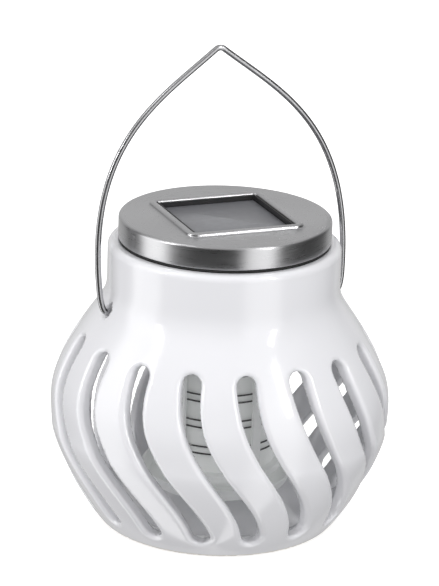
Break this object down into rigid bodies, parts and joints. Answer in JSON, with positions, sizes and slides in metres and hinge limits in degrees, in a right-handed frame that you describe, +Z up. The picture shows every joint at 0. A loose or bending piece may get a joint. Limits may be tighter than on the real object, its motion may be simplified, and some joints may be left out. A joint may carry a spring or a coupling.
{
  "type": "solar lantern bug zapper",
  "caption": "Glazed ceramic pot with swirling slots, a steel lid with a solar panel, a wire bail, and a lamp tube ringed by electrified wire hoops hung inside from the lid.",
  "frame": {"origin": "centre of the pot's foot, on the surface it stands on", "axes": "+Z up, X along the bail's hinge line, -Y towards the front"},
  "size_m": [0.1401, 0.1402, 0.1978],
  "materials": {
    "glazed_ceramic": "white glossy glaze",
    "wire": "bright drawn wire",
    "steel": "brushed in a turn",
    "black_plastic": "moulded black",
    "solar_cell": "cells under clear resin",
    "seal_rubber": "matt black",
    "circuit_board": "green solder mask",
    "transformer_tape": "yellow tape",
    "capacitor_red": "dipped epoxy",
    "battery_wrap": "shrink wrap",
    "zinc": "zinc plated",
    "white_plastic": "moulded white",
    "lead_red": "PVC insulation",
    "lead_black": "PVC insulation",
    "frosted_tube": "frosted grey",
    "cage_grey": "moulded grey",
    "grid_steel": "drawn steel wire",
    "led_lens": "clear violet epoxy"
  },
  "bodies": {
    "pot": {"ceramic_body": "glazed_ceramic"},
    "bail": {"bail_wire": "wire"},
    "lid": {"lid_shell": "steel", "window_frame": "black_plastic", "solar_panel": "solar_cell", "neck_seal": "seal_rubber", "lid_chassis": "black_plastic", "electronics_housing": "black_plastic", "circuit_board": "circuit_board", "transformer": "transformer_tape", "grid_capacitor": "capacitor_red", "driver_chip": "black_plastic", "battery": "battery_wrap", "battery_spring": "zinc", "battery_plate": "zinc", "switch_body": "black_plastic", "solar_lead_positive": "lead_red", "solar_lead_negative": "lead_black", "lamp_lead_positive": "lead_red", "lamp_lead_negative": "lead_black", "led_board": "circuit_board", "light_tube": "frosted_tube", "cage_top": "cage_grey", "cage_base": "cage_grey", "grid_upper": "grid_steel", "grid_lower": "grid_steel", "housing_screw_1": "zinc", "board_screw_1": "zinc", "housing_screw_2": "zinc", "board_screw_2": "zinc", "housing_screw_3": "zinc", "board_screw_3": "zinc", "cage_screw_1": "zinc", "cage_screw_2": "zinc", "uv_led_1": "led_lens", "uv_led_2": "led_lens", "uv_led_3": "led_lens", "uv_led_4": "led_lens", "cage_post_1": "cage_grey", "cage_post_2": "cage_grey", "cage_post_3": "cage_grey", "cage_post_4": "cage_grey", "cage_post_5": "cage_grey"},
    "switch": {"switch_knob": "white_plastic"},
    "tray": {"catch_tray": "cage_grey"}
  },
  "joints": [
    {"name": "bail_swing", "type": "hinge", "parent": "pot", "child": "bail", "pos_m": [0, 0, 0.0922], "axis": [1, 0, 0], "range_deg": [-74, 92]},
    {"name": "lid_lift", "type": "slide", "parent": "pot", "child": "lid", "axis": [0, 0, 1], "range_m": [0, 0.022]},
    {"name": "switch_slide", "type": "slide", "parent": "lid", "child": "switch", "axis": [1, 0, 0], "range_m": [0, 0.0025]},
    {"name": "tray_twist", "type": "hinge", "parent": "lid", "child": "tray", "pos_m": [0, 0, 0.02], "axis": [0, 0, 1], "range_deg": [0, 30]}
  ]
}
